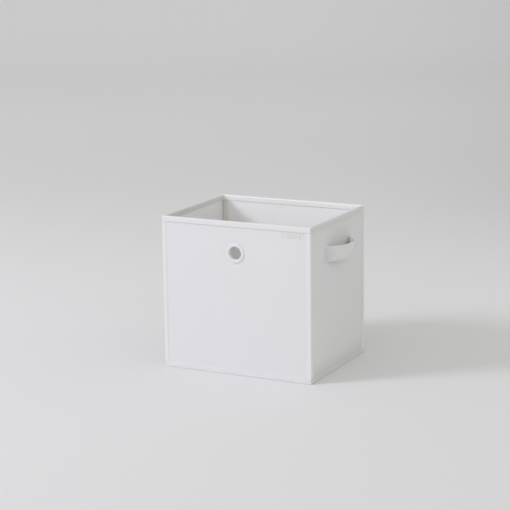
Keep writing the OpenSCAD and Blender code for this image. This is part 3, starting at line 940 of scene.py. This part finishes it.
def strap_half(name, sx, sign, seed):
    """Half of the strap, from the crease to its sewn end. sign is -1 towards the front. The folded cloth
    strap has plump edges and a shallow valley along each row of stitching."""
    end = REACH + TAB
    ts = np.concatenate([np.linspace(0, REACH - 10 * MM, 34), np.linspace(REACH - 9.6 * MM, REACH + 5 * MM, 44),
                         np.linspace(REACH + 5.5 * MM, end - 1.6 * MM, 9), [end - 0.8 * MM, end - 0.25 * MM, end]])
    half = (zs1 - zs0) / 2
    across = np.array([-1, -0.985, -0.94, -0.88, -0.82, -0.76, -0.6, -0.4, -0.2, 0, 0.2, 0.4, 0.6, 0.76, 0.82, 0.88, 0.94, 0.985, 1])
    prof = np.array([0.25, 0.62, 0.95, 1.0, 0.80, 0.98, 1.02, 1.02, 1.0, 1.0, 1.0, 1.02, 1.02, 0.98, 0.80, 1.0, 0.95, 0.62, 0.25])
    A = np.zeros((len(ts), len(across), 3))
    B = np.zeros_like(A)
    UV = np.zeros((len(ts), len(across), 2))
    s_acc = np.concatenate([[0], np.cumsum(np.hypot(np.diff(ts), np.diff(stand(ts))))])
    for i, t in enumerate(ts):
        e = 0.4 * MM
        st = float(stand(t))
        slope = float((stand(t + e) - stand(max(t - e, -REACH))) / (2 * e))
        m = math.hypot(1, slope)
        nx, ny = 1 / m, -slope / m
        tab = smooth((t - REACH - 3.2 * MM) / (1.4 * MM))
        thick = ST_T * (1 + 0.55 * float(tab)) * (1.0 if t < end - 1 * MM else 0.75 if t < end - 0.1 * MM else 0.35)
        wid = half * (1 + 0.012 * float(n_mid(t * 1.0, seed + 1)) - 0.02 * (1 - abs(t) / end))
        for j, (c, h) in enumerate(zip(across, prof)):
            z = (zs0 + zs1) / 2 + c * wid + 0.35 * MM * float(n_slow(t, seed))
            cup = 0.35 * MM * (1 - c * c) * st / BOW
            lo = hang(st, c) + 0.12 * MM + cup
            wob = 0.07 * MM * math.sin(2 * math.pi * s_acc[i] / (3.6 * MM)) * math.exp(-((abs(c) - 0.82) / 0.07) ** 2)
            lo_r = lo + (1 - h) * thick * 0.42
            hi_r = lo + thick - (1 - h) * thick * 0.42 - wob
            A[i, j] = (sx * (XS_OUT + st * 0 + lo_r * 0 + hi_r * nx + (lo * (1 - nx))), Y_CREASE + sign * (t + ny * (hi_r - lo)), z)
            B[i, j] = (sx * (XS_OUT + lo_r * nx + (lo * (1 - nx))), Y_CREASE + sign * (t + ny * (lo_r - lo)), z)
            UV[i, j] = (s_acc[i] * sign, z)
    return sheet_mesh(name, A, B, UV, M_STRAP, angle=60), ts, s_acc


for side, sx in SIDES:
    for part, sign, body in (("front", -1, f"{side}_front_leaf"), ("rear", 1, f"{side}_rear_leaf")):
        o, ts, s_acc = strap_half(f"{side}_strap_{part}_half", sx, sign, 3.0 + sx + 0.4 * sign)
        if part == "front":
            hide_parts(f"handle_strap_{side}")
        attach(o, body)
        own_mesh(o)
        # two rows of topstitching along the strap
        name = f"{side}_strap_{part}_stitches"
        half = (zs1 - zs0) / 2
        for c in (-0.82, 0.82):
            for lo_t, hi_t in ((1 * MM, 16 * MM), (16 * MM, 27 * MM), (27 * MM, 35 * MM), (35 * MM, 41 * MM), (REACH + 5 * MM, REACH + TAB - 1.5 * MM)):
                t = np.linspace(lo_t, hi_t, 20)
                st = stand(t)
                e = 0.4 * MM
                slope = (stand(t + e) - stand(t - e)) / (2 * e)
                m = np.hypot(1, slope)
                tabk = smooth((t - REACH - 3.2 * MM) / (1.4 * MM))
                h = ST_T * (1 + 0.55 * tabk) * 0.9
                x = XS_OUT + hang(st, c) + 0.12 * MM + 0.35 * MM * (1 - c * c) * st / BOW + h / m
                y = t - slope / m * h
                zz = (zs0 + zs1) / 2 + c * half * 0.985 + 0.35 * MM * n_slow(t, 3.0 + sx + 0.4 * sign)
                pts = np.stack([sx * x, Y_CREASE + sign * y, zz], 1)
                mid = len(t) // 2
                nr = (sx / m[mid], -sign * slope[mid] / m[mid], 0)
                stitches(name, body, pts, nr, pitch=3.2, length=2.4)
        # sewn box with a cross on the tab
        y0, y1 = REACH + 5.2 * MM, REACH + TAB - 1.6 * MM
        z0, z1 = (zs0 + zs1) / 2 - half * 0.62, (zs0 + zs1) / 2 + half * 0.62
        xt = sx * (XS_OUT + 0.12 * MM + ST_T * 1.55 * 0.99)
        for a, b in (((y0, z0), (y0, z1)), ((y1, z0), (y1, z1)), ((y0, z0), (y1, z0)), ((y0, z1), (y1, z1)), ((y0, z0), (y1, z1)), ((y0, z1), (y1, z0))):
            q = np.linspace(a, b, 12)
            stitches(name, body, np.stack([np.full(12, xt), Y_CREASE + sign * q[:, 0], q[:, 1]], 1), (sx, 0, 0), pitch=3.0, length=2.3)

# ------------------------------------------------------------------ blank label
lx0, lx1, lz0, lz1 = LABEL[0][0], LABEL[1][0], LABEL[0][2], LABEL[1][2]
U, V = np.meshgrid(np.linspace(lx0, lx1, 60), np.linspace(lz0, lz1, 22), indexing="ij")
du = np.minimum(U - lx0, lx1 - U); dv = np.minimum(V - lz0, lz1 - V)
fold = 0.18 * MM * np.exp(-((du - 1.6 * MM) / (1.4 * MM)) ** 2)
lift = 0.10 * MM * smooth(dv / (3 * MM)) * smooth(du / (6 * MM)) * (0.5 + 0.5 * n_edge(U, V))
low_edge = 0.14 * MM * smooth((lz0 + 3 * MM - V) / (3 * MM)) * (0.5 + 0.5 * n_mid(U, 1.0)) * smooth(du / (5 * MM))
face = YF_OUT - 0.30 * MM
A = np.stack([U, face - lift - low_edge - 0.02 * MM + fold * 0.2, V], -1)
B = np.stack([U, np.full(U.shape, YF_OUT + 0.1 * MM), V], -1)
o = sheet_mesh("blank_label", A, B, np.stack([U - lx0, V - lz0], -1), M_LABEL)
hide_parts("label_tag"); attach(o, "front_wall")
for x in (lx0 + 1.3 * MM, lx1 - 1.3 * MM):
    z = np.linspace(lz0 + 0.6 * MM, lz1 - 0.6 * MM, 20)
    stitches("label_stitches", "front_wall", np.stack([np.full(20, x), np.full(20, face - 0.12 * MM), z], 1), (0, -1, 0), pitch=2.2, length=1.7, r=0.16)

# ------------------------------------------------------------------ threads become one piece per body and seam
for (name, body), (V, F, U) in THREADS.items():
    o = build(name, np.concatenate(V), F, np.concatenate(U), M_THREAD, 80)
    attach(o, body)
    if name == "bottom_stitches":
        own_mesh(o)
    elif "strap" in name:
        s = 1 if name.startswith("right") else -1
        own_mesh(o)

# ------------------------------------------------------------------ carried-over pieces
for n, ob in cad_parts.items():
    if n.endswith("board"):
        mat = M_BOARD
    elif n.startswith("eyelet"):
        mat = M_PLASTIC
    else:
        continue
    for s in ob.material_slots:
        s.material = mat
    if not ob.material_slots:
        ob.data.materials.append(mat)

# ------------------------------------------------------------------ stage: pale studio sweep


def stage_material():
    m, nt, p = new_material("studio_paper")
    g = Graph(nt)
    co = g.node("ShaderNodeTexCoord").outputs["Object"]
    fine = g.noise(co, 90.0, 3.0)
    c = g.ramp(g.noise(co, 0.8, 2.0), [(0.2, (0.772, 0.770, 0.779)), (0.8, (0.782, 0.780, 0.788))])
    # painted light and shade: the paper is made a little lighter and darker in bands with depth, and darker towards
    # the right at the back, standing in for the light's falloff
    x, y, _ = g.split(co)
    depth = g.math("DIVIDE", g.math("ADD", y, 2.0), 9.0, clamp=True)
    painted_light_bands = g.ramp(depth, [(a, (b,) * 3) for a, b in ((0.0, 0.952), (0.222, 0.972), (0.278, 0.982), (0.341, 0.948),
                                                      (0.439, 0.888), (0.589, 0.962), (0.833, 0.975), (1.0, 0.908))])
    painted_light_bands.node.color_ramp.interpolation = "B_SPLINE"
    c = g.mix(1.0, c, painted_light_bands, "MULTIPLY")
    # painted shade: darker towards the right at the back
    off = g.math("MAXIMUM", g.math("DIVIDE", x, g.math("MULTIPLY", g.math("ADD", g.math("MAXIMUM", y, -1.0), 3.0), 0.1516)), 0.0)
    off = g.math("MULTIPLY", g.math("POWER", g.math("MINIMUM", off, 1.5), 2.0), g.math("SUBTRACT", y, 0.5, clamp=True))
    c = g.mix(g.math("MULTIPLY", off, 0.065, clamp=True), c, (0.0, 0.0, 0.0))
    nt.links.new(c, p.inputs["Base Color"])
    nt.links.new(g.ramp(fine, [(0.2, (0.88,) * 3), (0.8, (0.96,) * 3)]), p.inputs["Roughness"])
    nt.links.new(g.bump(fine, 0.03, 0.0005), p.inputs["Normal"])
    p.inputs["Specular IOR Level"].default_value = 0.15
    return m


ys = np.concatenate([np.linspace(-7, 5.0, 30), 5.0 + 3.5 * np.sin(np.radians(np.linspace(4, 90, 18))), [8.5, 8.5]])
zs = np.concatenate([np.zeros(30), 3.5 * (1 - np.cos(np.radians(np.linspace(4, 90, 18)))), [6.0, 9.0]])
V, F = [], []
xs = np.linspace(-11, 11, 12)
for x in xs:
    for y, z in zip(ys, zs):
        V.append((x, y, z))
n = len(ys)
for i in range(len(xs) - 1):
    for j in range(n - 1):
        F.append((i * n + j, (i + 1) * n + j, (i + 1) * n + j + 1, i * n + j + 1))
floor = build("studio_floor", V, F, np.array(V)[:, :2], stage_material())
rot = Matrix.Rotation(math.radians(26.93), 4, "Z")
floor.matrix_world = rot

# ------------------------------------------------------------------ light


def area(name, at, target, size, power, colour=(1, 1, 1), spread=180):
    d = bpy.data.lights.new(name, "AREA")
    d.shape = "DISK"
    d.size = size
    d.energy = power
    d.color = colour
    d.spread = math.radians(spread)
    o = bpy.data.objects.new(name, d)
    bpy.context.scene.collection.objects.link(o)
    at, target = Vector(at), Vector(target)
    o.location = at
    o.rotation_euler = (target - at).to_track_quat("-Z", "Y").to_euler()
    return o


area("key", (-3.336, -3.011, 2.85), (0, 0, 0.1), 1.42, 113.6, (0.875, 0.861, 1.0))

world = bpy.data.worlds.new("studio")
bpy.context.scene.world = world
world.use_nodes = True
nt = world.node_tree
nt.nodes.clear()
wo, bg = nt.nodes.new("ShaderNodeOutputWorld"), nt.nodes.new("ShaderNodeBackground")
bg.inputs[1].default_value = 1.0
wg = Graph(nt)
ray = wg.node("ShaderNodeTexCoord").outputs["Generated"]


def from_side(direction, strength):
    """Soft light from one side of the room, with its colour and strength."""
    dot = wg.node("ShaderNodeVectorMath", operation="DOT_PRODUCT")
    wg.put(dot.inputs[0], ray)
    dot.inputs[1].default_value = Vector(direction).normalized()
    n = wg.node("ShaderNodeVectorMath", operation="SCALE")
    n.inputs[0].default_value = strength
    wg.put(n.inputs[3], wg.math("MAXIMUM", dot.outputs["Value"], 0.0))
    return n.outputs[0]


def add(a, b):
    n = wg.node("ShaderNodeVectorMath", operation="ADD")
    wg.put(n.inputs[0], a)
    wg.put(n.inputs[1], b)
    return n.outputs[0]


room = add(from_side((0, -1, 0.3), (0.243, 0.235, 0.325)), from_side((1, 0, 0.3), (0.245, 0.251, 0.293)))
nt.links.new(add(room, (0.570, 0.573, 0.493)), bg.inputs[0])
nt.links.new(bg.outputs[0], wo.inputs[0])

# ------------------------------------------------------------------ camera
right, up, back = Vector((0.89274, 0.450393, -0.012684)), Vector((-0.084715, 0.195431, 0.977052)), Vector((0.442536, -0.871179, 0.212624))
cam = bpy.data.cameras.new("camera")
cam.sensor_width = 36
cam.lens = 1682.241 * 36 / 510
cam.clip_start, cam.clip_end = 0.05, 60
co = bpy.data.objects.new("camera", cam)
bpy.context.scene.collection.objects.link(co)
loc = Vector((1.345886, -2.688943, 0.851769))
co.matrix_world = Matrix(((right.x, up.x, back.x, loc.x), (right.y, up.y, back.y, loc.y), (right.z, up.z, back.z, loc.z), (0, 0, 0, 1)))
bpy.context.scene.camera = co
bpy.context.scene.view_settings.view_transform = "Standard"
bpy.context.scene.view_settings.look = "None"

bpy.context.view_layer.update()
